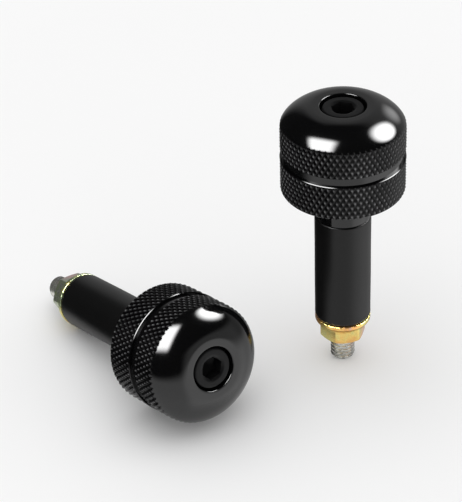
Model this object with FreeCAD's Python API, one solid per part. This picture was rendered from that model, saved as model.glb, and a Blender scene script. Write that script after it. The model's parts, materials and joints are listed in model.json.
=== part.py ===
import FreeCAD, Part

import math
import os

# A pair of bar end grips, each a domed weight on an expanding rubber plug.
#
# Every unit is drawn in its own frame: the screw's axis is Z, z = 0 is the rear face of the end
# cap and +Z runs towards the dome. The right unit stands on the tip of its screw. The left unit
# lies on the rear rim of its cap and on the flange of its nut. The pair's frame has +Z up and its
# origin at the middle of the bottom of the pair's box, on the surface that both units stand on.
# All sizes are in millimetres.

Vector = FreeCAD.Vector
AXIS_Z = Vector(0, 0, 1)

# End cap: a turned dome with two knurled bands and a groove between them.
CAP_RADIUS = 15.0
CAP_HEIGHT = 22.7
CAP_FACE_RADIUS = 7.3
CAP_SHOULDER_DROP = 5.3
CAP_SHOULDER_POWER = 1.56
CAP_SHOULDER_SPANS = 8
CAP_REAR_ROUND = 1.4
BAND_EDGE_CHAMFER_Z = 0.5
BAND_EDGE_CHAMFER_R = 0.35
GROOVE_REAR = 9.3
GROOVE_FRONT = 11.5
GROOVE_RADIUS = 14.4
COUNTERBORE_RADIUS = 5.55
CLEARANCE_HOLE_RADIUS = 3.3

# Cap screw: M6 x 65 socket head.
SCREW_SEAT = 16.3
THREAD_RADIUS = 2.97
SCREW_LENGTH = 65.0
SCREW_HEAD_RADIUS = 5.0
SCREW_HEAD_HEIGHT = 6.0
SCREW_HEAD_ROUND = 0.5
SCREW_TIP_CHAMFER = 0.6
SOCKET_ACROSS_FLATS = 5.0
SOCKET_DEPTH = 3.2
SOCKET_DRILL_CONE = 1.2

# Collar and rubber sleeve: both fit a bar with a 14 mm bore.
PLUG_RADIUS = 6.85
COLLAR_BOTTOM = -7.3
COLLAR_EDGE_CHAMFER = 0.3
SLEEVE_EDGE_ROUND = 0.4
SLEEVE_BORE_RADIUS = 3.5

# Flange nut: M6, with a conical flange under the hexagon.
NUT_TOP = -36.2
NUT_HEIGHT = 6.0
NUT_ACROSS_FLATS = 10.0
NUT_CORNER_RADIUS = 5.6
NUT_CORNER_CHAMFER = 0.7
NUT_CORNER_CHAMFER_ANGLE = 30.0
NUT_FLANGE_RADIUS = 6.8
NUT_FLANGE_RIM = 1.1
NUT_FLANGE_RISE = 2.9
NUT_BORE_RADIUS = 3.02
NUT_BORE_CHAMFER = 0.35

# Faces of two pieces that turn or slide against each other stand this far apart.
RUNNING_GAP = 0.05
HEXAGON_SIDES = 6

# Where the two units stand, and how each hexagon is turned about its own axis.
LEFT_X = -43.8
LEFT_Y = -15.1
LEFT_HEADING = -52.3
RIGHT_NUT_TURN = 15.0
RIGHT_SOCKET_TURN = 46.0
LEFT_NUT_TURN = 36.0
LEFT_SOCKET_TURN = 51.0

COUNTERBORE_FLOOR = SCREW_SEAT - RUNNING_GAP
COLLAR_TOP = -RUNNING_GAP
SLEEVE_TOP = COLLAR_BOTTOM
SLEEVE_BOTTOM = NUT_TOP + RUNNING_GAP
NUT_BOTTOM = NUT_TOP - NUT_HEIGHT
FLANGE_RIM_BOTTOM = NUT_TOP - NUT_FLANGE_RIM
SCREW_TIP = SCREW_SEAT - SCREW_LENGTH
SCREW_HEAD_TOP = SCREW_SEAT + SCREW_HEAD_HEIGHT


def point(radius, height):
    """A point of a half section, in the plane of X and Z."""
    return Vector(radius, 0, height)


def polyline(points):
    """The straight edges that join the points in order."""
    return [Part.LineSegment(a, b).toShape() for a, b in zip(points, points[1:])]


def turned(edges):
    """The solid that a closed half section sweeps in one turn about Z."""
    face = Part.Face(Part.Wire(Part.__sortEdges__(edges)))
    return face.revolve(Vector(0, 0, 0), AXIS_Z, 360)


def quarter_arc(start, middle, end):
    """A rounded edge through three points."""
    return Part.Arc(start, middle, end).toShape()


def hexagon_prism(across_flats, bottom, height, turn):
    """A hexagonal bar with one corner at the angle turn, in degrees from +X."""
    corner_radius = across_flats / math.sqrt(3)
    step_angle = 360 / HEXAGON_SIDES
    angles = [math.radians(turn + step_angle * step) for step in range(HEXAGON_SIDES + 1)]
    corners = [Vector(corner_radius * math.cos(a), corner_radius * math.sin(a), bottom) for a in angles]
    face = Part.Face(Part.makePolygon(corners))
    return face.extrude(Vector(0, 0, height))


def shoulder_point(share):
    """A point of the cap's shoulder, a superellipse between the flat face and the side."""
    angle = share * math.pi / 2
    exponent = 2 / CAP_SHOULDER_POWER
    width = CAP_RADIUS - CAP_FACE_RADIUS
    radius = CAP_FACE_RADIUS + width * math.sin(angle) ** exponent
    drop = CAP_SHOULDER_DROP * (1 - math.cos(angle) ** exponent)
    return point(radius, CAP_HEIGHT - drop)


def end_cap():
    """The domed weight, with its groove, its counterbore and its clearance hole."""
    shoulder = Part.BSplineCurve()
    shares = [step / CAP_SHOULDER_SPANS for step in range(CAP_SHOULDER_SPANS + 1)]
    shoulder.interpolate(Points=[shoulder_point(share) for share in shares])
    shoulder_foot = CAP_HEIGHT - CAP_SHOULDER_DROP
    round_centre = CAP_RADIUS - CAP_REAR_ROUND
    slant = CAP_REAR_ROUND / math.sqrt(2)
    side = [
        point(CAP_RADIUS, shoulder_foot),
        point(CAP_RADIUS, GROOVE_FRONT),
        point(GROOVE_RADIUS, GROOVE_FRONT),
        point(GROOVE_RADIUS, GROOVE_REAR),
        point(CAP_RADIUS - BAND_EDGE_CHAMFER_R, GROOVE_REAR),
        point(CAP_RADIUS, GROOVE_REAR - BAND_EDGE_CHAMFER_Z),
        point(CAP_RADIUS, CAP_REAR_ROUND),
    ]
    rear_round = quarter_arc(
        point(CAP_RADIUS, CAP_REAR_ROUND),
        point(round_centre + slant, CAP_REAR_ROUND - slant),
        point(round_centre, 0),
    )
    inside = [
        point(round_centre, 0),
        point(CLEARANCE_HOLE_RADIUS, 0),
        point(CLEARANCE_HOLE_RADIUS, COUNTERBORE_FLOOR),
        point(COUNTERBORE_RADIUS, COUNTERBORE_FLOOR),
        point(COUNTERBORE_RADIUS, CAP_HEIGHT),
        point(CAP_FACE_RADIUS, CAP_HEIGHT),
    ]
    return turned([shoulder.toShape(), rear_round] + polyline(side) + polyline(inside))


def cap_screw(socket_turn):
    """The M6 socket head cap screw, its thread drawn as a plain shank."""
    slant = SCREW_HEAD_ROUND / math.sqrt(2)
    round_centre = SCREW_HEAD_RADIUS - SCREW_HEAD_ROUND
    round_start = SCREW_HEAD_TOP - SCREW_HEAD_ROUND
    head_round = quarter_arc(
        point(SCREW_HEAD_RADIUS, round_start),
        point(round_centre + slant, round_start + slant),
        point(round_centre, SCREW_HEAD_TOP),
    )
    outline = [
        point(round_centre, SCREW_HEAD_TOP),
        point(0, SCREW_HEAD_TOP),
        point(0, SCREW_TIP),
        point(THREAD_RADIUS - SCREW_TIP_CHAMFER, SCREW_TIP),
        point(THREAD_RADIUS, SCREW_TIP + SCREW_TIP_CHAMFER),
        point(THREAD_RADIUS, SCREW_SEAT),
        point(SCREW_HEAD_RADIUS, SCREW_SEAT),
        point(SCREW_HEAD_RADIUS, round_start),
    ]
    socket_floor = SCREW_HEAD_TOP - SOCKET_DEPTH
    socket = hexagon_prism(SOCKET_ACROSS_FLATS, socket_floor, SOCKET_DEPTH, socket_turn)
    drill = Part.makeCone(
        0, SOCKET_ACROSS_FLATS / 2, SOCKET_DRILL_CONE, Vector(0, 0, socket_floor - SOCKET_DRILL_CONE)
    )
    return turned([head_round] + polyline(outline)).cut(socket.fuse(drill))


def collar():
    """The plain spacer between the cap and the rubber."""
    edge = PLUG_RADIUS - COLLAR_EDGE_CHAMFER
    outline = [
        point(CLEARANCE_HOLE_RADIUS, COLLAR_TOP),
        point(PLUG_RADIUS, COLLAR_TOP),
        point(PLUG_RADIUS, COLLAR_BOTTOM + COLLAR_EDGE_CHAMFER),
        point(edge, COLLAR_BOTTOM),
        point(CLEARANCE_HOLE_RADIUS, COLLAR_BOTTOM),
        point(CLEARANCE_HOLE_RADIUS, COLLAR_TOP),
    ]
    return turned(polyline(outline))


def rubber_sleeve():
    """The rubber that swells against the bar's bore when the nut is drawn up."""
    slant = SLEEVE_EDGE_ROUND / math.sqrt(2)
    round_centre = PLUG_RADIUS - SLEEVE_EDGE_ROUND
    round_top = SLEEVE_TOP - SLEEVE_EDGE_ROUND
    round_bottom = SLEEVE_BOTTOM + SLEEVE_EDGE_ROUND
    top_round = quarter_arc(
        point(round_centre, SLEEVE_TOP),
        point(round_centre + slant, round_top + slant),
        point(PLUG_RADIUS, round_top),
    )
    bottom_round = quarter_arc(
        point(PLUG_RADIUS, round_bottom),
        point(round_centre + slant, round_bottom - slant),
        point(round_centre, SLEEVE_BOTTOM),
    )
    side = polyline([point(PLUG_RADIUS, round_top), point(PLUG_RADIUS, round_bottom)])
    inside = [
        point(round_centre, SLEEVE_BOTTOM),
        point(SLEEVE_BORE_RADIUS, SLEEVE_BOTTOM),
        point(SLEEVE_BORE_RADIUS, SLEEVE_TOP),
        point(round_centre, SLEEVE_TOP),
    ]
    return turned([top_round, bottom_round] + side + polyline(inside))


def flange_nut(nut_turn):
    """The M6 flange nut, its thread drawn as a plain bore with running clearance."""
    flange_top = NUT_TOP - NUT_FLANGE_RISE
    corner_drop = NUT_CORNER_CHAMFER * math.tan(math.radians(NUT_CORNER_CHAMFER_ANGLE))
    chamfered_bar = turned(polyline([
        point(0, NUT_TOP),
        point(NUT_CORNER_RADIUS, NUT_TOP),
        point(NUT_CORNER_RADIUS, NUT_BOTTOM + corner_drop),
        point(NUT_CORNER_RADIUS - NUT_CORNER_CHAMFER, NUT_BOTTOM),
        point(0, NUT_BOTTOM),
        point(0, NUT_TOP),
    ]))
    hexagon = hexagon_prism(NUT_ACROSS_FLATS, NUT_BOTTOM, NUT_HEIGHT, nut_turn)
    flange = turned(polyline([
        point(0, NUT_TOP),
        point(NUT_FLANGE_RADIUS, NUT_TOP),
        point(NUT_FLANGE_RADIUS, FLANGE_RIM_BOTTOM),
        point(NUT_ACROSS_FLATS / 2, flange_top),
        point(0, flange_top),
        point(0, NUT_TOP),
    ]))
    chamfer_mouth = NUT_BORE_RADIUS + NUT_BORE_CHAMFER
    bore = turned(polyline([
        point(0, NUT_TOP),
        point(chamfer_mouth, NUT_TOP),
        point(NUT_BORE_RADIUS, NUT_TOP - NUT_BORE_CHAMFER),
        point(NUT_BORE_RADIUS, NUT_BOTTOM + NUT_BORE_CHAMFER),
        point(chamfer_mouth, NUT_BOTTOM),
        point(0, NUT_BOTTOM),
        point(0, NUT_TOP),
    ]))
    return hexagon.common(chamfered_bar).fuse(flange).cut(bore).removeSplitter()


def lying_tilt():
    """The angle, in radians, by which the axis of a lying unit dips towards its screw tip.

    The surface touches the corner of the nut's flange and the round of the cap's rear rim. Seen
    in section, it is the line from that corner that is tangent to that round.
    """
    run = CAP_REAR_ROUND - FLANGE_RIM_BOTTOM
    rise = CAP_RADIUS - CAP_REAR_ROUND - NUT_FLANGE_RADIUS
    return math.atan2(rise, run) + math.asin(CAP_REAR_ROUND / math.hypot(run, rise))


def lying_height():
    """How high a lying unit's origin is above the surface."""
    tilt = lying_tilt()
    return NUT_FLANGE_RADIUS * math.cos(tilt) - FLANGE_RIM_BOTTOM * math.sin(tilt)


def lying_axis():
    """The direction of a lying unit's +Z axis, in the pair's frame."""
    heading = math.radians(LEFT_HEADING)
    flat = math.cos(lying_tilt())
    return Vector(flat * math.cos(heading), flat * math.sin(heading), math.sin(lying_tilt()))


def unit_pieces(nut_turn, socket_turn):
    """The five pieces of one unit, in the unit's own frame."""
    return {
        "end_cap": end_cap(),
        "cap_screw": cap_screw(socket_turn),
        "collar": collar(),
        "rubber_sleeve": rubber_sleeve(),
        "flange_nut": flange_nut(nut_turn),
    }


def unit_placements():
    """The place of each unit, before the pair is centred."""
    standing = FreeCAD.Placement(Vector(0, 0, -SCREW_TIP), FreeCAD.Rotation())
    lying = FreeCAD.Placement(
        Vector(LEFT_X, LEFT_Y, lying_height()), FreeCAD.Rotation(AXIS_Z, lying_axis())
    )
    return {"left": lying, "right": standing}


def placed_pair():
    """Every piece of both units in the pair's frame, and the place of each unit."""
    turns = {"left": (LEFT_NUT_TURN, LEFT_SOCKET_TURN), "right": (RIGHT_NUT_TURN, RIGHT_SOCKET_TURN)}
    placements = unit_placements()
    nodes = {}
    for side, placement in placements.items():
        for name, shape in unit_pieces(*turns[side]).items():
            moved = shape.copy()
            moved.Placement = placement.multiply(moved.Placement)
            nodes[side + "_" + name] = moved
    box = Part.makeCompound(list(nodes.values())).optimalBoundingBox(False, False)
    shift = Vector(-box.Center.x, -box.Center.y, -box.ZMin)
    for shape in nodes.values():
        shape.translate(shift)
    for placement in placements.values():
        placement.move(shift)
    return nodes, placements


NODES, PLACEMENTS = placed_pair()

os.makedirs("parts", exist_ok=True)
for node_name, node_shape in NODES.items():
    node_shape.exportStep(os.path.join("parts", node_name + ".step"))
    print(node_name, node_shape.isValid(), len(node_shape.Solids), round(node_shape.Volume, 2))
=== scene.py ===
import json
import logging
import math
from dataclasses import dataclass, field
from enum import Enum
from functools import reduce

import bpy
import numpy as np
from bpy.types import AreaLight, Material, Node, NodeSocket, NodeTree, Object, World
from mathutils import Matrix, Vector


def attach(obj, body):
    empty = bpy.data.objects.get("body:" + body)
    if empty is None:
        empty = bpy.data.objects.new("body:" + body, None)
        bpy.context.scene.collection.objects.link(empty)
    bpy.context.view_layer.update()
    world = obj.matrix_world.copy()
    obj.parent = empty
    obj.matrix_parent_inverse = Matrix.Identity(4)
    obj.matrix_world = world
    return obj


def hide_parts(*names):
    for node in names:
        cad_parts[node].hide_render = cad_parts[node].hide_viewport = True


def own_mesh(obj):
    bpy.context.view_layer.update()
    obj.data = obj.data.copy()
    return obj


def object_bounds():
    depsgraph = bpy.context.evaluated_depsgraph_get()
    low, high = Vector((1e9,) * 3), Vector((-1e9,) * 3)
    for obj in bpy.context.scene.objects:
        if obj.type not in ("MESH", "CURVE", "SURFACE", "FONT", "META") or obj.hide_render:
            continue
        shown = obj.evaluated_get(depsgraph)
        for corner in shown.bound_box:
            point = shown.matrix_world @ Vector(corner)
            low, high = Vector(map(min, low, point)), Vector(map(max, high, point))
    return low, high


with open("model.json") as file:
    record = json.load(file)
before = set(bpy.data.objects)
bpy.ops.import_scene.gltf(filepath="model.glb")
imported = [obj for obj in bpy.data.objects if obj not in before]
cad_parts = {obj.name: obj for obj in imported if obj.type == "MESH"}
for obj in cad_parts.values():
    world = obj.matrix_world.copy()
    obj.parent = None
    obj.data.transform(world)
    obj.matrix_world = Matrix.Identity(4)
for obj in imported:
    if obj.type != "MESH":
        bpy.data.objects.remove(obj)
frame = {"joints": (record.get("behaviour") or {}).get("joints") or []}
CAD_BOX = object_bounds()

LOG = logging.getLogger("bar_end_grips")
MM = 0.001
TURN = 2.0 * math.pi
Colour = tuple[float, float, float]
Span = tuple[float, float]


class Side(Enum):
    """The two units of the pair."""

    LEFT = "left"
    RIGHT = "right"


class Loop(Enum):
    """How a half section ends: back at its start, or on the axis at both ends."""

    RING = "ring"
    POLES = "poles"


# --- Half sections: the outlines that are turned about a unit's axis ---


def legs(*corners: tuple[float, ...]) -> np.ndarray:
    """Points of a run of straight legs, without its last corner.

    Args:
        corners: radius and height of each corner, in mm, and for all but the last the number of
            spans that the leg from it is cut into.

    Returns:
        Rows of radius and height: on each leg, its start plus share times (end - start).
    """
    runs = []
    for (radius, height, spans), end in zip(corners, corners[1:]):
        start = np.array([radius, height])
        runs.append(start + np.arange(spans)[:, None] / spans * (np.array(end[:2]) - start))
    return np.concatenate(runs)


def rounding(
    centre: Span, radius: float, first: float, last: float, steps: int
) -> np.ndarray:
    """Points of a round of an outline, without its last point.

    Args:
        centre: radius and height of the round's centre, in mm.
        radius: the round's own radius, in mm.
        first: the angle of its first point, in degrees from straight out.
        last: the angle that it leads to, in degrees.
        steps: how many spans the round is cut into.

    Returns:
        An array of rows: centre plus radius times (cosine, sine) of the angle.
    """
    angle = np.radians(first + (last - first) * np.arange(steps) / steps)
    return np.asarray(centre) + radius * np.column_stack([np.cos(angle), np.sin(angle)])


def outline(*runs: np.ndarray) -> np.ndarray:
    """The runs of an outline, one after another, as rows of radius and height."""
    return np.concatenate([np.atleast_2d(run) for run in runs])


@dataclass(frozen=True)
class TurnedGrid:
    """A surface worked out on a grid of outline point and angle round the axis.

    Attributes:
        section: rows of radius and height, in mm, in the order that turns faces outwards.
        sides: how many points there are round the axis.
        start: the angle of the first of them, in degrees.
        loop: whether the section closes on itself or ends on the axis.
    """

    section: np.ndarray
    sides: int
    start: float = 0.0
    loop: Loop = Loop.RING

    def angles(self) -> np.ndarray:
        """The angle of each column of the grid, in radians."""
        return math.radians(self.start) + TURN * np.arange(self.sides) / self.sides

    def fields(self) -> tuple[np.ndarray, np.ndarray, np.ndarray]:
        """Radius, height and angle at every grid point, one row for each outline point."""
        shape = (len(self.section), self.sides)
        radii, heights = (np.broadcast_to(self.section[:, k : k + 1], shape).copy() for k in (0, 1))
        return radii, heights, np.broadcast_to(self.angles(), shape)

    def vertices(self, radii: np.ndarray, heights: np.ndarray) -> np.ndarray:
        """Points in the unit's own frame: (radius cos angle, radius sin angle, height), in mm."""
        angle = self.angles()
        points = np.stack([radii * np.cos(angle), radii * np.sin(angle), heights], axis=2)
        points = points.reshape(-1, 3)
        if self.loop is Loop.POLES:
            poles = [[0.0, 0.0, heights[row].mean()] for row in (0, -1)]
            points = np.concatenate([points, poles])
        return points

    def faces(self, creased: np.ndarray | None = None) -> np.ndarray:
        """Triangles of the grid, each cell cut along one of its diagonals.

        Args:
            creased: for each cell, True where the cut goes from the cell's first corner to the
                one across from it, and False where it joins the other two. None cuts every cell
                the first way.

        Returns:
            Rows of three point numbers, turned so that the faces look outwards.
        """
        rows, sides = len(self.section), self.sides
        last = rows if self.loop is Loop.RING else rows - 1
        row, column = np.arange(last)[:, None], np.arange(sides)[None, :]
        beyond, beside = (row + 1) % rows, (column + 1) % sides
        a, b = row * sides + column, row * sides + beside
        c, d = beyond * sides + beside, beyond * sides + column
        main = np.ones_like(a, dtype=bool) if creased is None else creased[:last]
        one = np.where(main[..., None], np.stack([a, b, c], 2), np.stack([a, b, d], 2))
        two = np.where(main[..., None], np.stack([a, c, d], 2), np.stack([b, c, d], 2))
        faces = np.concatenate([one.reshape(-1, 3), two.reshape(-1, 3)])
        if self.loop is Loop.POLES:
            ring = np.arange(sides)
            following = (ring + 1) % sides
            pole, start = rows * sides, (rows - 1) * sides
            head = np.column_stack([following, ring, np.full(sides, pole)])
            tail = np.column_stack([start + ring, start + following, np.full(sides, pole + 1)])
            faces = np.concatenate([faces, head, tail])
        return faces


def triangle_wave(phase: np.ndarray) -> np.ndarray:
    """0 at every whole number and 1 half way between, with straight slopes."""
    return 1.0 - np.abs(2.0 * (phase - np.floor(phase)) - 1.0)


def smooth_step(value: np.ndarray, low: float, high: float) -> np.ndarray:
    """0 below low and 1 above high, with a cubic ease between them."""
    share = np.clip((value - low) / (high - low), 0.0, 1.0)
    return share * share * (3.0 - 2.0 * share)


def hexagon_radius(angle: np.ndarray, across_flats: float, turn: float) -> np.ndarray:
    """The radius of a hexagon at an angle: half its flats over the cosine of the angle to the flat."""
    from_corner = np.mod(angle - math.radians(turn), math.pi / 3)
    return across_flats / 2 / np.cos(from_corner - math.pi / 6)


# --- Where a unit stands ---


@dataclass(frozen=True)
class UnitPlace:
    """The place of one unit, read from the joint that its cap turns on.

    Attributes:
        side: which unit it is.
        origin: the middle of the cap's rear face, in metres.
        axis: the direction from the screw's tip to the dome.
    """

    side: Side
    origin: Vector
    axis: Vector

    @staticmethod
    def of(side: Side) -> "UnitPlace":
        """The place of one side's unit."""
        joint = next(j for j in frame["joints"] if j["name"] == side.value + "_cap_turn")
        return UnitPlace(side, Vector(joint["pos_m"]), Vector(joint["axis"]).normalized())

    def matrix(self) -> Matrix:
        """The unit's own frame in mm as a matrix of the pair's frame in metres."""
        turn = Vector((0, 0, 1)).rotation_difference(self.axis).to_matrix().to_4x4()
        return Matrix.Translation(self.origin) @ turn @ Matrix.Scale(MM, 4)

    def point(self, height: float) -> Vector:
        """A point of the axis, at a height in mm, in the pair's frame."""
        return self.origin + self.axis * height * MM

    def name(self, piece: str) -> str:
        """A piece's name with its side in front."""
        return self.side.value + "_" + piece


def make_piece(
    place: UnitPlace,
    name: str,
    points: np.ndarray,
    faces: np.ndarray,
    crease_degrees: float,
    finishes: list[Material],
    layers: dict[str, np.ndarray] | None = None,
) -> Object:
    """Puts worked-out points and faces into a mesh object in the pair's frame.

    Args:
        place: the unit that the piece belongs to.
        name: the piece's name, without its side.
        points: rows of x, y and z in the unit's own frame, in mm.
        faces: rows of three point numbers.
        crease_degrees: edges that bend more than this stay sharp.
        finishes: its materials, of which the first is on every face.
        layers: values from 0 to 1 for each point, by attribute name.

    Returns:
        The object, at the origin, with its place in its mesh.
    """
    mesh = bpy.data.meshes.new(place.name(name))
    mesh.from_pydata(np.asarray(points, float), [], np.asarray(faces, int))
    mesh.transform(place.matrix())
    mesh.polygons.foreach_set("use_smooth", np.ones(len(mesh.polygons), dtype=bool))
    for layer, values in (layers or {}).items():
        attribute = mesh.attributes.new(layer, "FLOAT", "POINT")
        attribute.data.foreach_set("value", np.asarray(values, dtype=np.float32))
    mesh.update()
    mesh.set_sharp_from_angle(angle=math.radians(crease_degrees))
    for finish in finishes:
        mesh.materials.append(finish)
    piece = bpy.data.objects.new(mesh.name, mesh)
    bpy.context.scene.collection.objects.link(piece)
    return piece


# --- Shader building ---


def new_tree(name: str, inputs: dict[str, float], outputs: list[str]) -> NodeTree:
    """A shader node group of number sockets, with only its input and output nodes in it.

    Args:
        name: the group's name.
        inputs: the default value of each input, by name.
        outputs: the name of each output.

    Returns:
        The group's node tree.
    """
    tree = bpy.data.node_groups.new(name, "ShaderNodeTree")
    for label, default in inputs.items():
        socket = tree.interface.new_socket(name=label, in_out="INPUT", socket_type="NodeSocketFloat")
        socket.default_value = default
    for label in outputs:
        tree.interface.new_socket(name=label, in_out="OUTPUT", socket_type="NodeSocketFloat")
    tree.nodes.new("NodeGroupInput").name = "in"
    tree.nodes.new("NodeGroupOutput").name = "out"
    return tree


@dataclass
class NodeSet:
    """A short way to add nodes to a tree and to join them."""

    tree: NodeTree

    def add(self, kind: str, **values: object) -> Node:
        """A new node with some of its own settings made."""
        node = self.tree.nodes.new(kind)
        for key, value in values.items():
            setattr(node, key, value)
        return node

    def join(self, source: NodeSocket, target: NodeSocket) -> None:
        """Links an output to an input."""
        self.tree.links.new(source, target)

    def feed(self, target: NodeSocket, value: object) -> None:
        """Links a socket to an input, or sets the input to a number or an opaque colour."""
        if isinstance(value, NodeSocket):
            self.join(value, target)
        else:
            target.default_value = (*value, 1.0) if isinstance(value, tuple) else value

    def math(self, operation: str, first: object, second: object = None) -> NodeSocket:
        """A sum or other operation on one or two values."""
        node = self.add("ShaderNodeMath", operation=operation)
        self.feed(node.inputs[0], first)
        if second is not None:
            self.feed(node.inputs[1], second)
        return node.outputs[0]

    def product(self, *values: object) -> NodeSocket:
        """All the values multiplied."""
        return reduce(lambda one, two: self.math("MULTIPLY", one, two), values)

    def total(self, *values: object) -> NodeSocket:
        """All the values added."""
        return reduce(lambda one, two: self.math("ADD", one, two), values)

    def held(self, value: object) -> NodeSocket:
        """A value held between 0 and 1."""
        node = self.add("ShaderNodeClamp")
        self.feed(node.inputs["Value"], value)
        return node.outputs[0]

    def mix(self, factor: object, first: object, second: object, blend: str = "MIX") -> NodeSocket:
        """A mix of two colours."""
        node = self.add("ShaderNodeMix", data_type="RGBA", blend_type=blend)
        self.feed(node.inputs[0], factor)
        self.feed(node.inputs[6], first)
        self.feed(node.inputs[7], second)
        return node.outputs[2]

    def spread(self, value: object, low: float, high: float, to_low: float, to_high: float) -> NodeSocket:
        """A value moved from one range to another and held inside it."""
        return self.ranged("LINEAR", value, low, high, to_low, to_high)

    def rise(self, value: object, low: float, high: float) -> NodeSocket:
        """0 below low and 1 above high, with an ease between them."""
        return self.ranged("SMOOTHSTEP", value, low, high, 0.0, 1.0)

    def ranged(self, interpolation: str, value: object, *limits: float) -> NodeSocket:
        """A value moved from the first two limits to the last two."""
        node = self.add("ShaderNodeMapRange", interpolation_type=interpolation, clamp=True)
        self.feed(node.inputs[0], value)
        for index, number in enumerate(limits, start=1):
            node.inputs[index].default_value = number
        return node.outputs[0]

    def fade(self, value: object, low: float, high: float) -> NodeSocket:
        """1 below low and 0 above high, with an ease between them."""
        return self.math("SUBTRACT", 1.0, self.rise(value, low, high))

    def choose(self, switch: object, off: object, on: object) -> NodeSocket:
        """One number where the switch is 0 and another where it is 1."""
        node = self.add("ShaderNodeMix", data_type="FLOAT")
        self.feed(node.inputs[0], switch)
        self.feed(node.inputs[2], off)
        self.feed(node.inputs[3], on)
        return node.outputs[0]

    def noise(self, vector: object, scale: object, detail: float = 3.0, roughness: float = 0.5) -> Node:
        """A noise texture read at the given coordinates."""
        node = self.add("ShaderNodeTexNoise")
        self.feed(node.inputs["Vector"], vector)
        self.feed(node.inputs["Scale"], scale)
        node.inputs["Detail"].default_value = detail
        node.inputs["Roughness"].default_value = roughness
        return node.outputs[0]

    def ramp(self, value: object, stops: list[tuple[float, Colour]]) -> NodeSocket:
        """A colour ramp through the given stops."""
        node = self.add("ShaderNodeValToRGB")
        self.feed(node.inputs[0], value)
        elements = node.color_ramp.elements
        while len(elements) < len(stops):
            elements.new(0.5)
        for element, (position, colour) in zip(elements, stops):
            element.position = position
            element.color = (*colour, 1.0)
        return node.outputs[0]

    def place(self) -> NodeSocket:
        """The object's own coordinates, in metres."""
        return self.add("ShaderNodeTexCoord").outputs["Object"]

    def layer(self, name: str) -> NodeSocket:
        """A value stored on the mesh's points."""
        return self.add("ShaderNodeAttribute", attribute_name=name).outputs["Fac"]

    def group(self, tree: NodeTree, values: tuple[object, ...]) -> Node:
        """A node group placed with its own values, in the order of its inputs."""
        node = self.add("ShaderNodeGroup")
        node.node_tree = tree
        for socket, value in zip(node.inputs, values):
            self.feed(socket, value)
        return node


def micro_finish() -> NodeTree:
    """The group for fine grain: a height and a roughness that vary over the surface.

    The height is fine noise. The roughness is a base value, raised and lowered by that noise and
    a broader swell, and the mask is the swell alone.
    """
    tree = new_tree(
        "micro_finish",
        {"Grain Size": 4000.0, "Swell Size": 180.0, "Roughness": 0.3, "Variation": 0.1},
        ["Height", "Roughness", "Mask"],
    )
    nodes = NodeSet(tree)
    given, result = tree.nodes["in"], tree.nodes["out"]
    place = nodes.place()
    grain = nodes.noise(place, given.outputs["Grain Size"], 2.0)
    swell = nodes.noise(place, given.outputs["Swell Size"], 3.0)
    both = nodes.total(nodes.product(grain, 0.6), nodes.product(swell, 0.4))
    offset = nodes.product(nodes.math("SUBTRACT", both, 0.5), given.outputs["Variation"])
    nodes.join(grain, result.inputs["Height"])
    nodes.join(nodes.held(nodes.total(given.outputs["Roughness"], offset)), result.inputs["Roughness"])
    nodes.join(swell, result.inputs["Mask"])
    return tree


def handling_marks() -> NodeTree:
    """The group for dust and light scuffs: a mask that is strongest in broken patches.

    The mask is a coarse noise, cut off below a threshold, times a fine noise.
    """
    tree = new_tree("handling_marks", {"Patch Size": 90.0, "Speck Size": 2400.0, "Amount": 0.2}, ["Mask"])
    nodes = NodeSet(tree)
    given, result = tree.nodes["in"], tree.nodes["out"]
    place = nodes.place()
    patches = nodes.spread(nodes.noise(place, given.outputs["Patch Size"], 4.0), 0.48, 0.75, 0.0, 1.0)
    specks = nodes.spread(nodes.noise(place, given.outputs["Speck Size"], 1.0), 0.5, 0.7, 0.0, 1.0)
    nodes.join(nodes.held(nodes.product(patches, specks, given.outputs["Amount"])), result.inputs["Mask"])
    return tree


@dataclass(frozen=True)
class SharedEffects:
    """The node groups that several finishes use."""

    micro: NodeTree
    marks: NodeTree

    @staticmethod
    def build() -> "SharedEffects":
        """Makes each group once."""
        return SharedEffects(micro_finish(), handling_marks())


def new_material(name: str) -> tuple[Material, NodeSet, Node]:
    """A material with nothing but a Principled shader on its output."""
    material = bpy.data.materials.new(name)
    material.use_nodes = True
    tree = material.node_tree
    tree.nodes.clear()
    nodes = NodeSet(tree)
    shader = nodes.add("ShaderNodeBsdfPrincipled")
    surface = nodes.add("ShaderNodeOutputMaterial")
    nodes.join(shader.outputs[0], surface.inputs["Surface"])
    return material, nodes, shader


def add_bump(nodes: NodeSet, shader: Node, height: object, depth: float, strength: float) -> None:
    """Feeds a height to the shader's normal through a bump node. Depth is in metres."""
    bump = nodes.add("ShaderNodeBump")
    bump.inputs["Distance"].default_value = depth
    bump.inputs["Strength"].default_value = strength
    nodes.feed(bump.inputs["Height"], height)
    nodes.join(bump.outputs["Normal"], shader.inputs["Normal"])


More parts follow.
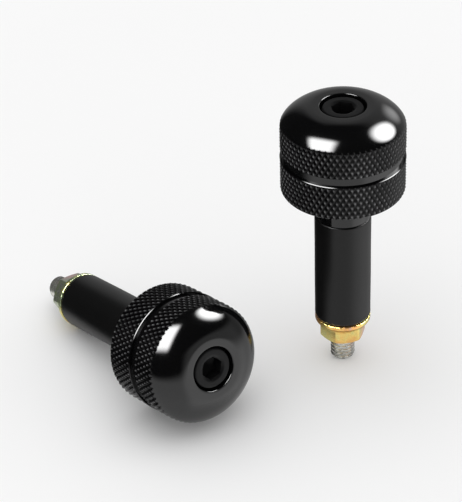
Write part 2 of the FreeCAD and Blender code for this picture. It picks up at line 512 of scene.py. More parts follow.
@dataclass(frozen=True)
class BlackAnodised:
    """Gloss black anodised aluminium, turned and knurled, with a painted highlight on the knurl crests.

    Attributes:
        colour: the dye's colour.
        bare: the grey that lightens the knurl crests: a painted highlight along the crests, partly the bare
            metal where a crest is rubbed.
        dust: the colour of the handling marks.
        roughness: how matt the turned faces are.
        crest_wear_and_highlight: how far the crests are lightened towards that grey, from 0 to 1: painted
            highlight, partly worn-off dye.
        ior: how strongly the skin mirrors. Knurled faces mirror less than turned ones.
    """

    colour: Colour = (0.002, 0.002, 0.0022)
    # Painted highlight: this grey lightens the knurl crests to stand in for their glints, partly as
    # bare-metal wear.
    bare: Colour = (0.34, 0.34, 0.345)
    dust: Colour = (0.03, 0.03, 0.03)
    roughness: float = 0.085
    crest_wear_and_highlight: float = 0.7
    ior: float = 1.52

    def build(self, name: str, effects: SharedEffects) -> Material:
        """The finish as a material."""
        material, nodes, shader = new_material(name)
        micro = nodes.group(effects.micro, (5200.0, 160.0, self.roughness, 0.05))
        marks = nodes.group(effects.marks, (110.0, 2600.0, 0.12)).outputs["Mask"]
        crest = nodes.layer("crest")
        patchy = nodes.spread(micro.outputs["Mask"], 0.35, 0.65, 0.4, 1.0)
        # Painted highlight: the knurl crests are mixed in patches towards the light grey, standing in for
        # glints along the crests as well as wear.
        crest_highlight_and_wear = nodes.product(crest, self.crest_wear_and_highlight, patchy)
        dyed = nodes.mix(marks, self.colour, self.dust)
        nodes.join(nodes.mix(crest_highlight_and_wear, dyed, self.bare), shader.inputs["Base Color"])
        dusty = nodes.product(marks, 0.35)
        rough = nodes.total(micro.outputs["Roughness"], dusty, nodes.product(crest, 0.06))
        nodes.join(nodes.held(rough), shader.inputs["Roughness"])
        shader.inputs["IOR"].default_value = self.ior
        add_bump(nodes, shader, micro.outputs["Height"], 0.000004, 0.25)
        return material


@dataclass(frozen=True)
class BlackenedScrew:
    """A black oxide screw head on a bright zinc plated shank.

    Attributes:
        oxide: the colour of the head.
        zinc: the colour of the plated thread.
        dust: the colour of the handling marks on the head.
        head_roughness: how matt the head is.
        shank_roughness: how matt the plating is.
    """

    oxide: Colour = (0.005, 0.0052, 0.0055)
    zinc: Colour = (0.78, 0.78, 0.74)
    dust: Colour = (0.03, 0.028, 0.026)
    head_roughness: float = 0.42
    shank_roughness: float = 0.16

    def build(self, name: str, effects: SharedEffects) -> Material:
        """The finish as a material."""
        material, nodes, shader = new_material(name)
        shank = nodes.layer("shank")
        base = nodes.choose(shank, self.head_roughness, self.shank_roughness)
        micro = nodes.group(effects.micro, (6000.0, 420.0, base, 0.16))
        marks = nodes.group(effects.marks, (260.0, 3000.0, 0.3)).outputs["Mask"]
        tone = nodes.spread(micro.outputs["Mask"], 0.3, 0.7, 0.78, 1.08)
        plated = nodes.mix(1.0, self.zinc, tone, blend="MULTIPLY")
        blackened = nodes.mix(marks, self.oxide, self.dust)
        nodes.join(nodes.mix(shank, blackened, plated), shader.inputs["Base Color"])
        nodes.join(nodes.product(shank, 0.88), shader.inputs["Metallic"])
        shader.inputs["IOR"].default_value = 1.28
        nodes.join(micro.outputs["Roughness"], shader.inputs["Roughness"])
        add_bump(nodes, shader, micro.outputs["Height"], 0.000005, 0.35)
        return material


@dataclass(frozen=True)
class MattRubber:
    """Moulded black rubber with a dry, slightly dusty skin.

    Attributes:
        colour: the rubber's colour.
        dust: the colour of the handling marks.
        roughness: how matt the skin is.
    """

    colour: Colour = (0.0022, 0.0022, 0.0023)
    dust: Colour = (0.014, 0.014, 0.0135)
    roughness: float = 0.36

    def build(self, name: str, effects: SharedEffects) -> Material:
        """The finish as a material."""
        material, nodes, shader = new_material(name)
        micro = nodes.group(effects.micro, (3600.0, 120.0, self.roughness, 0.12))
        marks = nodes.group(effects.marks, (140.0, 1800.0, 0.25)).outputs["Mask"]
        dusted = nodes.mix(marks, self.colour, self.dust)
        nodes.join(dusted, shader.inputs["Base Color"])
        nodes.join(micro.outputs["Roughness"], shader.inputs["Roughness"])
        shader.inputs["IOR"].default_value = 1.36
        add_bump(nodes, shader, micro.outputs["Height"], 0.00002, 0.5)
        return material


@dataclass(frozen=True)
class YellowZinc:
    """Yellow chromate over zinc, with the faint rainbow that such a film has.

    Attributes:
        stops: the film's colours, from its thinnest to its thickest.
        roughness: how matt the plating is.
        drift: how the film's thickness moves from the left nut to the right one.
    """

    stops: tuple[tuple[float, Colour], ...] = (
        (0.0, (0.66, 0.50, 0.46)),
        (0.18, (0.78, 0.40, 0.14)),
        (0.34, (0.84, 0.56, 0.17)),
        (0.5, (0.74, 0.64, 0.22)),
        (0.66, (0.42, 0.50, 0.30)),
        (0.84, (0.40, 0.42, 0.36)),
        (1.0, (0.66, 0.46, 0.44)),
    )
    roughness: float = 0.25
    drift: Span = (0.16, -0.28)

    def build(self, name: str, effects: SharedEffects) -> Material:
        """The finish as a material."""
        material, nodes, shader = new_material(name)
        micro = nodes.group(effects.micro, (5200.0, 900.0, self.roughness, 0.2))
        film = nodes.noise(nodes.place(), 130.0, 2.0, 0.45)
        fine = nodes.product(nodes.math("SUBTRACT", micro.outputs["Mask"], 0.5), 0.35)
        split = nodes.add("ShaderNodeSeparateXYZ")
        nodes.join(nodes.place(), split.inputs[0])
        shift = nodes.spread(split.outputs[0], -0.03, 0.02, *self.drift)
        uneven = nodes.spread(nodes.total(film, fine), 0.28, 0.72, 0.18, 0.82)
        thickness = nodes.held(nodes.total(uneven, shift))
        nodes.join(nodes.ramp(thickness, list(self.stops)), shader.inputs["Base Color"])
        shader.inputs["Metallic"].default_value = 0.82
        nodes.join(micro.outputs["Roughness"], shader.inputs["Roughness"])
        add_bump(nodes, shader, micro.outputs["Height"], 0.000006, 0.4)
        return material


# --- The pieces of a unit ---


@dataclass(frozen=True)
class Knurl:
    """Diamond knurling: two sets of V grooves that cross on a turned band.

    Attributes:
        starts: how many diamonds there are round the band.
        pitch: the height of a diamond along the axis, in mm.
        depth: how deep the grooves are, in mm.
        ridge: how much of the height is left where a crest line crosses a groove.
        samples: how many grid points a diamond has each way.
    """

    starts: int = 66
    pitch: float = 2.4
    depth: float = 0.44
    ridge: float = 0.34
    samples: int = 8

    def sides(self) -> int:
        """How many grid points there are round the cap."""
        return self.starts * self.samples

    def rows(self, low: float, high: float) -> np.ndarray:
        """Heights of the grid rows in a band, on the knurl's own lattice, in mm."""
        step = self.pitch / self.samples
        return step * np.arange(math.ceil(low / step + 0.02), math.floor(high / step - 0.02) + 1)

    def height(self, angle: np.ndarray, along: np.ndarray) -> np.ndarray:
        """How far each point stands above the groove's floor, from 0 to 1.

        There are two triangle waves, one for each way that the grooves lean. The height is mostly
        the lower of the two, with a share of the first, which joins the pyramids into ridges.
        """
        round_phase = angle * self.starts / TURN
        long_phase = along / self.pitch
        one, two = triangle_wave(round_phase + long_phase), triangle_wave(round_phase - long_phase)
        return (1.0 - self.ridge) * np.minimum(one, two) + self.ridge * one

    def creases(self, heights: np.ndarray, sides: int) -> np.ndarray:
        """For each cell, whether its cut follows a groove that leans up to the right."""
        step = self.pitch / self.samples
        row = np.rint(heights / step).astype(int)[:, None]
        column = np.arange(sides)[None, :]
        return (row + column + 1) % self.samples != 0


@dataclass
class EndCap:
    """The domed, knurled weight that stays outside the bar.

    Sizes are in mm. Heights run from the rear face towards the dome.
    """

    place: UnitPlace
    radius: float = 15.0
    height: float = 22.7
    face_radius: float = 7.3
    shoulder_drop: float = 5.3
    shoulder_power: float = 1.56
    rear_round: float = 1.4
    groove_rear: float = 9.3
    groove_front: float = 11.5
    groove_radius: float = 14.4
    counterbore_radius: float = 5.55
    counterbore_floor: float = 16.3
    hole_radius: float = 3.3
    lip: float = 0.22
    band_chamfer: float = 0.13
    knurl_top: float = 20.5
    knurl_foot: float = 0.08
    crown_share: float = 0.62
    knurl: Knurl = field(default_factory=Knurl)

    def shoulder(self, share: np.ndarray) -> np.ndarray:
        """Points of the shoulder, a superellipse from the flat face down to the side.

        Radius and drop are the shoulder's width and depth times the sine, and one less the
        cosine, of a quarter turn times share, each raised to 2 over the ellipse's power.
        """
        angle = share * math.pi / 2
        exponent = 2.0 / self.shoulder_power
        radius = self.face_radius + (self.radius - self.face_radius) * np.sin(angle) ** exponent
        drop = self.shoulder_drop * (1.0 - np.maximum(np.cos(angle), 0.0) ** exponent)
        return np.column_stack([radius, self.height - drop])

    def shoulder_radius(self, heights: np.ndarray) -> np.ndarray:
        """The turned radius at a height on the shoulder or on the side below it."""
        fall = np.clip((heights - (self.height - self.shoulder_drop)) / self.shoulder_drop, 0.0, 1.0)
        reach = (1.0 - fall**self.shoulder_power) ** (1.0 / self.shoulder_power)
        return self.face_radius + (self.radius - self.face_radius) * reach

    def rear_radius(self, heights: np.ndarray) -> np.ndarray:
        """The turned radius at a height on the rear band, with the round at its foot."""
        short = np.clip(self.rear_round - heights, 0.0, self.rear_round)
        return self.radius - self.rear_round + np.sqrt(self.rear_round**2 - short**2)

    def section(self) -> np.ndarray:
        """The cap's closed half section, from its bore over its dome to its rear face."""
        bore, recess, floor = self.hole_radius, self.counterbore_radius, self.counterbore_floor
        mouth = recess + self.lip
        crown = self.shoulder(np.linspace(0.0, self.crown_share, 19))
        crown = crown[crown[:, 1] > self.knurl_top + 0.05]
        front_rows = self.knurl.rows(self.groove_front, self.knurl_top)[::-1]
        front = np.column_stack([self.shoulder_radius(front_rows), front_rows])
        chamfer_foot = self.groove_rear - self.band_chamfer
        rear_rows = np.append(self.knurl.rows(0.0, chamfer_foot)[::-1], self.knurl_foot)
        rear = np.column_stack([self.rear_radius(rear_rows), rear_rows])
        return outline(
            legs((bore, 0.0, 8), (bore, floor, 3), (recess, floor, 8), (recess, self.height - self.lip)),
            rounding((mouth, self.height - self.lip), self.lip, 180.0, 90.0, 4),
            legs((mouth, self.height, 3), (self.face_radius, self.height)),
            crown,
            front,
            legs(
                (self.radius, self.groove_front, 1),
                (self.groove_radius, self.groove_front, 4),
                (self.groove_radius, self.groove_rear, 1),
                (self.radius - self.band_chamfer, self.groove_rear, 2),
                (self.radius, chamfer_foot),
            ),
            [(self.radius, chamfer_foot)],
            rear,
            legs((self.radius - self.rear_round, 0.0, 10), (bore, 0.0)),
        )

    def surface(self) -> tuple[np.ndarray, np.ndarray, np.ndarray, np.ndarray]:
        """The cap's points and faces, each point's share of crest, and which faces are knurled."""
        grid = TurnedGrid(self.section(), self.knurl.sides())
        radii, heights, angle = grid.fields()
        pattern = self.knurl.height(angle, heights)
        knurled = self.radius - self.knurl.depth * (1.0 - pattern)
        cut_end = self.groove_rear - self.band_chamfer - 0.01
        in_groove = (heights > cut_end) & (heights < self.groove_front - 0.01)
        cut = (radii > self.groove_radius + 0.01) & ~in_groove & (heights > 0.01)
        shaped = np.where(cut, np.minimum(radii, knurled), radii)
        knurled_here = cut & (knurled < radii + 0.1)
        crest = np.where(knurled_here, smooth_step(pattern, 0.6, 1.0), 0.0)
        faces = grid.faces(self.knurl.creases(grid.section[:, 1], grid.sides))
        return grid.vertices(shaped, heights), faces, crest.ravel(), knurled_here.ravel()[faces].all(axis=1)

    def build(self, turned: Material, knurled: Material) -> Object:
        """Makes the cap and puts it on its body."""
        points, faces, crest, bands = self.surface()
        layers = {"crest": crest}
        piece = make_piece(self.place, "end_cap_knurled", points, faces, 24.0, [turned, knurled], layers)
        piece.data.polygons.foreach_set("material_index", bands.astype(np.int32))
        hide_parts(self.place.name("end_cap"))
        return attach(piece, self.place.name("cap"))


@dataclass(frozen=True)
class Thread:
    """A right-hand screw thread: a trapezoid that climbs one pitch a turn.

    Attributes:
        crest: the radius of its crests, in mm.
        root: the radius of its roots, in mm.
        pitch: how far it climbs in a turn, in mm.
    """

    crest: float = 2.97
    root: float = 2.40
    pitch: float = 1.0

    def radius(self, angle: np.ndarray, along: np.ndarray) -> np.ndarray:
        """The thread's radius: flat crests and roots joined by straight flanks."""
        wave = triangle_wave(along / self.pitch - angle / TURN)
        share = np.clip((wave - 0.24) / 0.58, 0.0, 1.0)
        return self.root + (self.crest - self.root) * share


@dataclass
class CapScrew:
    """The socket head cap screw that runs through the unit. Sizes are in mm."""

    place: UnitPlace
    socket_turn: float
    seat: float = 16.3
    head_height: float = 6.0
    head_radius: float = 5.0
    head_round: float = 0.5
    length: float = 65.0
    shank_radius: float = 2.97
    thread_length: float = 26.0
    tip_chamfer: float = 0.6
    across_flats: float = 5.0
    socket_depth: float = 3.2
    drill_cone: float = 1.2
    socket_chamfer: float = 0.32
    mouth_rim: float = 0.36
    mouth_gap: float = 0.12
    mouth_slope: float = 1.9
    drill_eye: float = 0.35
    tip_eye: float = 0.3
    runout: float = 1.2
    rows_per_turn: int = 12
    sides: int = 120
    thread: Thread = field(default_factory=Thread)

    def section(self) -> np.ndarray:
        """The screw's half section, from the middle of its socket to the middle of its tip."""
        top = self.seat + self.head_height
        floor = top - self.socket_depth
        tip = self.seat - self.length
        corner = self.across_flats / math.sqrt(3.0)
        face = self.head_radius - self.head_round
        thread_rows = int(self.thread_length / self.thread.pitch * self.rows_per_turn)
        return outline(
            legs(
                (self.drill_eye, floor - self.drill_cone, 5),
                (corner, floor, 7),
                (corner, top - self.socket_chamfer, 4),
                (corner + self.mouth_rim, top, 4),
                (face, top),
            ),
            rounding((face, top - self.head_round), self.head_round, 90.0, 0.0, 6),
            legs(
                (self.head_radius, top - self.head_round, 8),
                (self.head_radius, self.seat, 3),
                (self.shank_radius, self.seat, 12),
                (self.shank_radius, tip + self.thread_length, thread_rows),
                (self.shank_radius, tip + self.tip_chamfer, 6),
                (self.shank_radius - self.tip_chamfer, tip, 5),
                (self.tip_eye, tip),
            ),
            [(self.tip_eye, tip)],
        )[::-1]

    def surface(self) -> tuple[np.ndarray, np.ndarray, np.ndarray]:
        """The screw's points, faces and where its bare shank is, from 0 to 1."""
        grid = TurnedGrid(self.section(), self.sides, start=self.socket_turn, loop=Loop.POLES)
        radii, heights, angle = grid.fields()
        top = self.seat + self.head_height
        hexagon = hexagon_radius(angle, self.across_flats, self.socket_turn)
        inside = (heights < top - 1e-6) & (heights > top - self.socket_depth - self.drill_cone - 1e-6)
        inside &= radii < self.across_flats / math.sqrt(3.0) + self.mouth_rim + 0.01
        radii = np.where(inside, np.minimum(radii, self.socket_wall(hexagon, heights, top)), radii)
        tip = self.seat - self.length
        thread_end = tip + self.thread_length
        fade = smooth_step(heights, thread_end - self.runout, thread_end)
        threaded = self.thread.radius(angle, heights) * (1.0 - fade) + self.shank_radius * fade
        radii = np.where(heights < thread_end, np.minimum(radii, threaded), radii)
        shank = np.where(heights < self.seat - 0.1, 1.0, 0.0)
        return grid.vertices(radii, heights), grid.faces(), np.append(shank.ravel(), [1.0, 0.0])

    def socket_wall(self, hexagon: np.ndarray, heights: np.ndarray, top: float) -> np.ndarray:
        """The socket's radius: the hexagon, opened to a cone at its mouth."""
        climb = (heights - (top - self.socket_chamfer)) * self.mouth_slope
        return np.maximum(hexagon, self.across_flats / 2 + self.mouth_gap + climb)

    def build(self, finish: Material) -> Object:
        """Makes the screw and puts it on its body."""
        points, faces, shank = self.surface()
        layers = {"shank": shank}
        piece = make_piece(self.place, "cap_screw_threaded", points, faces, 28.0, [finish], layers)
        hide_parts(self.place.name("cap_screw"))
        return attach(piece, self.place.name("screw"))


@dataclass
class Plug:
    """The collar and the rubber sleeve, which go inside the bar. Sizes are in mm."""

    place: UnitPlace
    radius: float = 6.85
    collar_length: float = 7.3
    collar_bore: float = 3.3
    collar_chamfer: float = 0.3
    edge_break: float = 0.12
    sleeve_length: float = 28.9
    sleeve_round: float = 0.4
    foot_round: float = 1.1
    sleeve_bore: float = 3.5
    wall_wave: float = 0.05
    nut_travel: float = 4.0
    sides: int = 144

    def collar_section(self) -> np.ndarray:
        """The collar's closed half section."""
        foot = -self.collar_length
        return legs(
            (self.collar_bore, foot, 6),
            (self.collar_bore, 0.0, 4),
            (self.radius - self.edge_break, 0.0, 1),
            (self.radius, -self.edge_break, 8),
            (self.radius, foot + self.collar_chamfer, 2),
            (self.radius - self.collar_chamfer, foot, 4),
            (self.collar_bore, foot),
        )

    def sleeve_section(self) -> np.ndarray:
        """The sleeve's closed half section."""
        head = -self.collar_length
        foot = head - self.sleeve_length
        middle = self.radius - self.sleeve_round
        inner = self.radius - self.foot_round
        return outline(
            legs((self.sleeve_bore, foot, 10), (self.sleeve_bore, head, 4), (middle, head)),
            rounding((middle, head - self.sleeve_round), self.sleeve_round, 90.0, 0.0, 6),
            legs((self.radius, head - self.sleeve_round, 48), (self.radius, foot + self.foot_round)),
            rounding((inner, foot + self.foot_round), self.foot_round, 0.0, -90.0, 8),
            legs((inner, foot, 4), (self.sleeve_bore, foot)),
        )

    def build_collar(self, finish: Material) -> Object:
        """Makes the collar and puts it on its body."""
        grid = TurnedGrid(self.collar_section(), self.sides)
        points = grid.vertices(*grid.fields()[:2])
        piece = make_piece(self.place, "collar_turned", points, grid.faces(), 28.0, [finish])
        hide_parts(self.place.name("collar"))
        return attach(piece, self.place.name("plug"))

    def build_sleeve(self, finish: Material) -> Object:
        """Makes the sleeve, with the slight unevenness of a moulding.

        The outer wall sinks by up to wall_wave in a slow wave along the axis and round it.
        """
        grid = TurnedGrid(self.sleeve_section(), self.sides)
        radii, heights, angle = grid.fields()
        wave = 0.5 + 0.25 * np.sin(heights * 0.37 + 1.3) + 0.25 * np.sin(2.0 * angle + heights * 0.11)
        radii = np.where(radii > self.radius - 0.01, radii - self.wall_wave * wave, radii)
        points = grid.vertices(radii, heights)
        piece = make_piece(self.place, "rubber_sleeve_moulded", points, grid.faces(), 40.0, [finish])
        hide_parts(self.place.name("rubber_sleeve"))
        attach(piece, self.place.name("plug"))
        self.place.name("nut_draw")
        tuple(self.place.point(-self.collar_length))
        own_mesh(piece)
        return piece


@dataclass
class FlangeNut:
    """The serrated flange nut that squeezes the rubber. Sizes are in mm."""

    place: UnitPlace
    turn: float
    head: float = -36.2
    height: float = 6.0
    across_flats: float = 10.0
    corner_radius: float = 5.6
    corner_chamfer: float = 0.7
    flange_radius: float = 6.8
    flange_rim: float = 1.1
    flange_rise: float = 2.9
    bore_radius: float = 3.02
    bore_chamfer: float = 0.35
    rim_round: float = 0.18
    rim_lean: float = 0.3
    chamfer_rows: float = 0.9
    foot_gap: float = 0.02
    plain_bearing: float = 1.2
    serrations: int = 30
    serration_depth: float = 0.08
    sides: int = 360

    def section(self) -> np.ndarray:
        """The nut's closed half section, its hexagon left at its corner radius."""
        foot = self.head - self.height
        bore, corner, soft = self.bore_radius, self.corner_radius, self.rim_round
        mouth = bore + self.bore_chamfer
        edge = self.flange_radius - soft
        rim_foot = self.head - self.flange_rim
        return outline(
            legs(
                (bore, foot + self.bore_chamfer, 6),
                (bore, self.head - self.bore_chamfer, 2),
                (mouth, self.head, 8),
                (edge, self.head),
            ),
            rounding((edge, self.head - soft), soft, 90.0, 0.0, 4),
            legs((self.flange_radius, self.head - soft, 4), (self.flange_radius, rim_foot + soft)),
            rounding((edge, rim_foot + soft), soft, 0.0, -45.0, 3),
            legs(
                (self.flange_radius - self.rim_lean * soft, rim_foot, 14),
                (corner, self.head - self.flange_rise, 5),
                (corner, foot + self.chamfer_rows, 14),
                (corner, foot + self.foot_gap),
            ),
            legs((corner, foot, 14), (mouth, foot, 2), (bore, foot + self.bore_chamfer)),
        )

    def surface(self) -> tuple[np.ndarray, np.ndarray]:
        """The nut's points and faces.

        Below the flange the radius is the least of the hexagon and a 30 degree cone that
        chamfers its corners, and the greatest of that and the flange's own cone.
        """
        grid = TurnedGrid(self.section(), self.sides, start=self.turn)
        radii, heights, angle = grid.fields()
        foot = self.head - self.height
        hexagon = np.minimum(hexagon_radius(angle, self.across_flats, self.turn), self.corner_radius)
        cone = self.corner_radius - self.corner_chamfer + (heights - foot) / math.tan(math.radians(30))
        barrel = np.minimum(hexagon, cone)
        slope = (self.flange_radius - self.across_flats / 2) / (self.flange_rise - self.flange_rim)
        rim_foot = self.head - self.flange_rim
        flange_cone = self.flange_radius + (heights - rim_foot) * slope
        outer = (radii > self.across_flats / 2 - 0.2) & (heights < rim_foot + 0.001)
        wall = np.maximum(barrel, np.where(heights < rim_foot, flange_cone, 0.0))
        radii = np.where(outer, np.minimum(radii, wall), radii)
        teeth = triangle_wave(angle * self.serrations / TURN) * self.serration_depth
        bearing = (radii > self.bore_radius + self.plain_bearing) & (heights > self.head - 0.3)
        heights = np.where(bearing, heights - teeth, heights)
        return grid.vertices(radii, heights), grid.faces()

    def build(self, finish: Material) -> Object:
        """Makes the nut and puts it on its body."""
        points, faces = self.surface()
        piece = make_piece(self.place, "flange_nut_serrated", points, faces, 26.0, [finish])
        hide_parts(self.place.name("flange_nut"))
        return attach(piece, self.place.name("nut"))


@dataclass(frozen=True)
class Finishes:
    """The finishes of a unit."""

    black: Material
    knurled: Material
    screw: Material
    rubber: Material
    zinc: Material

    @staticmethod
    def build() -> "Finishes":
        """Makes every finish once, on the same shared groups."""
        effects = SharedEffects.build()
        return Finishes(
            BlackAnodised().build("gloss_black", effects),
            BlackAnodised(ior=1.28).build("knurled_black", effects),
            BlackenedScrew().build("black_screw", effects),
            MattRubber().build("rubber", effects),
            YellowZinc().build("yellow_zinc", effects),
        )


@dataclass
class GripUnit:
    """One bar end grip: cap, screw, collar, rubber and nut.

    Attributes:
        place: where the unit stands.
        nut_turn: the angle of a corner of its nut, in degrees.
        socket_turn: the angle of a corner of its socket, in degrees.
    """

    place: UnitPlace
    nut_turn: float
    socket_turn: float

    def build(self, finishes: Finishes) -> list[Object]:
        """Makes the unit's five pieces."""
        plug = Plug(self.place)
        return [
            EndCap(self.place).build(finishes.black, finishes.knurled),
            CapScrew(self.place, self.socket_turn).build(finishes.screw),
            plug.build_collar(finishes.black),
            plug.build_sleeve(finishes.rubber),
            FlangeNut(self.place, self.nut_turn).build(finishes.zinc),
        ]


# --- The studio ---


def toward(azimuth: float, elevation: float) -> Vector:
    """The direction at an azimuth, clockwise from +Y, and a height above the horizon, in degrees."""
    a, e = math.radians(azimuth), math.radians(elevation)
    return Vector((math.sin(a) * math.cos(e), math.cos(a) * math.cos(e), math.sin(e)))


def hang_lamp(name: str, size: float, radiance: float, place: Vector) -> Object:
    """A square lamp that faces down and that the camera doesn't see. Sizes are in metres."""
    data = bpy.data.lights.new(name, "AREA")
    data.shape = "SQUARE"
    data.size = size
    data.energy = radiance * math.pi * size**2
    lamp = bpy.data.objects.new(name, data)
    lamp.location = place
    lamp.visible_camera = False
    bpy.context.scene.collection.objects.link(lamp)
    return lamp


class Beam(Enum):
    """The outline of a softbox's bright face."""

    ROUND = "round"
    SQUARE = "square"


@dataclass(frozen=True)
class Softbox:
    """A lamp that only shows in gloss, with a face that fades at its edges.

    Attributes:
        name: the lamp's name.
        beam: the outline of its bright face.
        azimuth: clockwise from +Y, in degrees.
        elevation: above the horizon, in degrees.
        spread: half the angle that the face fills, at half its brightness, in degrees.
        fade: the angle over which its edge fades, in degrees.
        radiance: how bright its middle is, where a white floor is 1.
        distance: from the pair's middle, in metres.
        roll: how far the lamp is turned about its own beam, in degrees.
    """

    name: str
    beam: Beam
    azimuth: float
    elevation: float
    spread: float
    fade: float = 12.0
    radiance: float = 24.0
    distance: float = 0.5
    roll: float = 0.0

    def half_size(self) -> float:
        """Half the lamp's width, with all of its faded edge, in metres."""
        return self.distance * math.tan(math.radians(self.spread + self.fade / 2))

    def bright_share(self) -> float:
        """The share of the half width that is fully bright."""
        return self.distance * math.tan(math.radians(self.spread - self.fade / 2)) / self.half_size()

    def build(self, target: Vector, unlit: list[Object]) -> Object:
        """Hangs the lamp, turns it to the target and keeps its light off the unlit pieces."""
        direction = toward(self.azimuth, self.elevation)
        place = target + direction * self.distance
        lamp = hang_lamp(self.name, 2 * self.half_size(), self.radiance, place)
        self.build_face(lamp.data)
        aim = (-direction).to_track_quat("-Z", "Y").to_matrix()
        lamp.rotation_euler = (aim @ Matrix.Rotation(math.radians(self.roll), 3, "Z")).to_euler()
        lamp.visible_diffuse = False
        receivers = bpy.data.collections.new(self.name + "_receivers")
        for piece in unlit:
            receivers.objects.link(piece)
        for entry in receivers.collection_objects:
            entry.light_linking.link_state = "EXCLUDE"
        lamp.light_linking.receiver_collection = receivers
        return lamp

    def build_face(self, data: AreaLight) -> None:
        """Fades the lamp's face, by the distance from its middle or from its nearest edge.

        Light that has already left a matt surface gets none of it, so that the metal throws no
        spots on the floor.
        """
        data.use_nodes = True
        data.node_tree.nodes.clear()
        nodes = NodeSet(data.node_tree)
        split = nodes.add("ShaderNodeSeparateXYZ")
        nodes.join(nodes.add("ShaderNodeNewGeometry").outputs["Parametric"], split.inputs[0])
        across = [nodes.math("ABSOLUTE", nodes.math("SUBTRACT", split.outputs[k], 0.5)) for k in (0, 1)]
        if self.beam is Beam.ROUND:
            reach = nodes.math("SQRT", nodes.total(*[nodes.product(value, value) for value in across]))
            face = nodes.fade(reach, self.bright_share() / 2, 0.5)
        else:
            sides = [nodes.fade(value, self.bright_share() / 2, 0.5) for value in across]
            face = nodes.product(*sides)
        emission = nodes.add("ShaderNodeEmission")
        surface = nodes.add("ShaderNodeOutputLight")
        path = nodes.add("ShaderNodeLightPath")
        first = nodes.math("LESS_THAN", path.outputs["Diffuse Depth"], 0.5)
        nodes.join(nodes.product(face, first), emission.inputs["Strength"])
        nodes.join(emission.outputs[0], surface.inputs[0])


@dataclass(frozen=True)
class Surround:
    """What the gloss mirrors: a pale backdrop behind, a lit floor in front, and the dark elsewhere.

    Angles are azimuths clockwise from +Y and heights above the horizon, in degrees.
    """

    dark: float = 0.02
    backdrop: float = 0.36
    left_edge: Span = (-34.0, -16.0)
    right_edge: Span = (50.0, 75.0)
    top_edge: Span = (48.0, 66.0)
    side_glow: float = 0.42
    side_edges: tuple[float, float, float, float] = (50.0, 90.0, 130.0, 150.0)
    side_top: Span = (8.0, 18.0)
    floor: float = 0.95
    floor_top: Span = (-16.0, -3.0)
    floor_right: Span = (20.0, 110.0)
    floor_left: Span = (232.0, 268.0)
    floor_steep: Span = (-80.0, -60.0)
    diffuse: float = 0.9
    seen: float = 0.95

    def build(self) -> World:
        """Makes the surround as a world."""
        world = bpy.data.worlds.new("surround")
        world.use_nodes = True
        tree = world.node_tree
        tree.nodes.clear()
        nodes = NodeSet(tree)
        background = nodes.add("ShaderNodeBackground")
        surface = nodes.add("ShaderNodeOutputWorld")
        split = nodes.add("ShaderNodeSeparateXYZ")
        nodes.join(nodes.add("ShaderNodeTexCoord").outputs["Generated"], split.inputs[0])
        azimuth = nodes.math("DEGREES", nodes.math("ARCTAN2", split.outputs[0], split.outputs[1]))
        elevation = nodes.math("DEGREES", nodes.math("ARCSINE", split.outputs[2]))
        behind = nodes.product(
            nodes.rise(azimuth, *self.left_edge),
            nodes.fade(azimuth, *self.right_edge),
            nodes.fade(elevation, *self.top_edge),
            self.backdrop,
        )
        beside = nodes.product(
            nodes.rise(azimuth, *self.side_edges[:2]),
            nodes.fade(azimuth, *self.side_edges[2:]),
            nodes.fade(elevation, *self.side_top),
            self.side_glow,
        )
        beneath = nodes.product(self.below(nodes, azimuth, elevation), self.floor)
        mirrored = nodes.total(behind, beside, beneath, self.dark)
        path = nodes.add("ShaderNodeLightPath")
        strength = nodes.choose(path.outputs["Is Glossy Ray"], self.diffuse, mirrored)
        strength = nodes.choose(path.outputs["Is Camera Ray"], strength, self.seen)
        nodes.join(strength, background.inputs["Strength"])
        background.inputs["Color"].default_value = (1.0, 1.0, 1.0, 1.0)
        nodes.join(background.outputs[0], surface.inputs[0])
        bpy.context.scene.world = world
        return world

    def below(self, nodes: NodeSet, azimuth: object, elevation: object) -> NodeSocket:
        """Where the floor is lit: from the right round the front to the left, and underneath."""
        wrapped = nodes.product(nodes.math("LESS_THAN", azimuth, -80.0), 360.0)
        front = nodes.total(azimuth, wrapped)
        lit = nodes.product(nodes.rise(front, *self.floor_right), nodes.fade(front, *self.floor_left))
        lit = nodes.math("MAXIMUM", lit, nodes.fade(elevation, *self.floor_steep))
        return nodes.product(lit, nodes.fade(elevation, *self.floor_top))


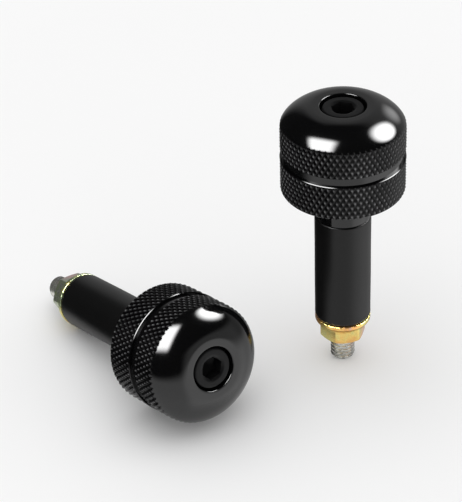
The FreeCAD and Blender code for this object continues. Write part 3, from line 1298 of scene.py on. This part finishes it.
@dataclass(frozen=True)
class Studio:
    """A pale floor, soft lamps, a pale surround and the camera. Sizes are in metres, angles in degrees."""

    camera_distance: float = 0.6
    camera_elevation: float = 32.4
    camera_yaw: float = 3.061
    camera_pitch: float = 33.803
    camera_roll: float = -1.614
    lens_mm: float = 180.48765
    sensor_mm: float = 36.0
    floor_size: float = 6.0
    floor_albedo: float = 0.9
    near_gloss: Span = (0.008, 0.022)
    top_light_size: float = 1.6
    top_light_height: float = 1.5
    top_light_radiance: float = 0.7

    def build_camera(self, target: Vector) -> Object:
        """Sets the camera at its distance from the target, a little turned and rolled."""
        data = bpy.data.cameras.new("camera")
        data.sensor_width = self.sensor_mm
        data.lens = self.lens_mm
        data.clip_start = 0.01
        camera = bpy.data.objects.new("camera", data)
        camera.location = target + toward(180.0, self.camera_elevation) * self.camera_distance
        yaw = Matrix.Rotation(math.radians(self.camera_yaw), 4, "Z")
        pitch = Matrix.Rotation(math.radians(90.0 - self.camera_pitch), 4, "X")
        roll = Matrix.Rotation(math.radians(self.camera_roll), 4, "Z")
        camera.rotation_euler = (yaw @ pitch @ roll).to_euler()
        bpy.context.scene.collection.objects.link(camera)
        bpy.context.scene.camera = camera
        return camera

    def build_floor(self) -> Object:
        """A wide pale floor at the pair's lowest level.

        Gloss sees it only close by, and further off it sees the surround's floor.
        """
        half = self.floor_size / 2
        mesh = bpy.data.meshes.new("floor")
        corners = [(x * half, y * half, 0.0) for x, y in ((-1, -1), (1, -1), (1, 1), (-1, 1))]
        mesh.from_pydata(corners, [], [(0, 1, 2, 3)])
        floor = bpy.data.objects.new("floor", mesh)
        bpy.context.scene.collection.objects.link(floor)
        material, nodes, shader = new_material("pale_floor")
        tone = nodes.spread(nodes.noise(nodes.place(), 3.0, 2.0), 0.3, 0.7, 0.97, 1.0)
        tone = nodes.product(tone, self.floor_albedo)
        nodes.join(nodes.mix(1.0, (1.0, 1.0, 1.0), tone, blend="MULTIPLY"), shader.inputs["Base Color"])
        shader.inputs["Roughness"].default_value = 0.9
        shader.inputs["Specular IOR Level"].default_value = 0.0
        self.clear_far_gloss(nodes, shader)
        mesh.materials.append(material)
        return floor

    def clear_far_gloss(self, nodes: NodeSet, shader: Node) -> None:
        """Lets a glossy ray that has come a long way pass through the floor."""
        path = nodes.add("ShaderNodeLightPath")
        far = nodes.rise(path.outputs["Ray Length"], *self.near_gloss)
        mixed = nodes.add("ShaderNodeMixShader")
        nodes.join(nodes.product(far, path.outputs["Is Glossy Ray"]), mixed.inputs[0])
        nodes.join(shader.outputs[0], mixed.inputs[1])
        nodes.join(nodes.add("ShaderNodeBsdfTransparent").outputs[0], mixed.inputs[2])
        surface = next(node for node in nodes.tree.nodes if node.bl_idname == "ShaderNodeOutputMaterial")
        nodes.join(mixed.outputs[0], surface.inputs["Surface"])

    def build_top_light(self, target: Vector) -> Object:
        """A broad lamp overhead, which lights the floor and stays out of the gloss."""
        place = target + Vector((0, 0, self.top_light_height))
        lamp = hang_lamp("top_light", self.top_light_size, self.top_light_radiance, place)
        lamp.visible_glossy = False
        return lamp

    def build(self, pieces: list[Object]) -> None:
        """Makes the whole studio round all the pieces of both units.

        The softboxes light no screw, and each unit has two of its own, a round and a square one.
        """
        screws = [piece for piece in pieces if "cap_screw" in piece.name]
        not_left, not_right = (
            [piece for piece in pieces if piece in screws or piece.name.startswith(other.value)]
            for other in (Side.RIGHT, Side.LEFT)
        )
        low, high = CAD_BOX
        middle = (low + high) / 2
        self.build_camera(UnitPlace.of(Side.RIGHT).origin)
        self.build_floor()
        Surround().build()
        self.build_top_light(middle)
        for box, unlit in (
            (Softbox("right_round_softbox", Beam.ROUND, 74.0, 40.5, 17.0), not_right),
            (Softbox("left_round_softbox", Beam.ROUND, 75.0, 43.0, 17.5), not_left),
            (Softbox("right_square_softbox", Beam.SQUARE, -132.0, 52.5, 18.0, roll=24.0), not_right),
            (Softbox("left_square_softbox", Beam.SQUARE, -158.0, 50.0, 20.0), not_left),
            (Softbox("edge_card", Beam.ROUND, 37.0, 22.0, 9.0, fade=14.0, radiance=2.2), screws),
        ):
            box.build(middle, unlit)
        view = bpy.context.scene.view_settings
        view.view_transform = "Standard"
        view.look = "None"


def write_sizes() -> None:
    """Updates the view layer."""
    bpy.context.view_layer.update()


def main() -> None:
    """Builds both units and the studio, and reports each piece."""
    logging.basicConfig(level=logging.INFO, format="%(name)s: %(message)s")
    finishes = Finishes.build()
    units = (
        GripUnit(UnitPlace.of(Side.RIGHT), nut_turn=15.0, socket_turn=46.0),
        GripUnit(UnitPlace.of(Side.LEFT), nut_turn=36.0, socket_turn=51.0),
    )
    pieces = [piece for unit in units for piece in unit.build(finishes)]
    for piece in pieces:
        LOG.info("%s has %d triangles", piece.name, len(piece.data.polygons))
    Studio().build(pieces)
    write_sizes()


if __name__ == "__main__":
    main()
